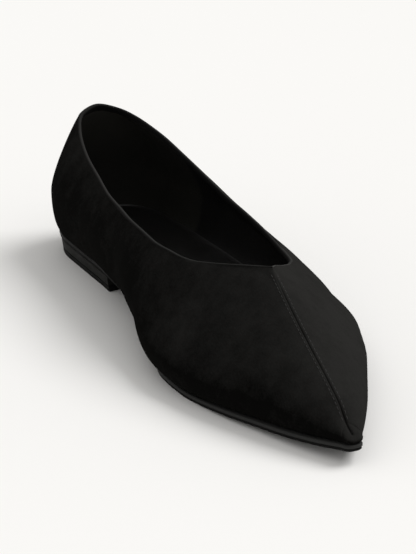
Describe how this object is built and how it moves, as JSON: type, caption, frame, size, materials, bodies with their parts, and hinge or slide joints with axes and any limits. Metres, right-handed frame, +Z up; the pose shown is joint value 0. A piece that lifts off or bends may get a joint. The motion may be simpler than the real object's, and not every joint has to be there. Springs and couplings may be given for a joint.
{
  "type": "pointed toe flat shoe",
  "caption": "Women's pointed-toe slip-on flat in black suede, for the left foot: hollow one-piece upper with a deep V throat and centre seam, thin sole, low heel.",
  "frame": {"origin": "bottom centre of the shoe's box, on the floor between heel and toe", "axes": "+Z up, -Y towards the pointed toe and +Y towards the heel, +X towards the outer side of the left foot"},
  "size_m": [0.0892, 0.2702, 0.0634],
  "materials": {
    "black_suede": "matt suede with a short nap",
    "black_sock_leather": "smooth satin leather",
    "dark_sole_edge": "semi-matt dark edge",
    "dark_heel_stack": "dark stained stack",
    "black_top_lift": "matt rubber"
  },
  "bodies": {
    "root": {"upper": "black_suede", "insole": "black_sock_leather", "outsole": "dark_sole_edge", "heel_block": "dark_heel_stack", "heel_top_lift": "black_top_lift"}
  },
  "joints": []
}
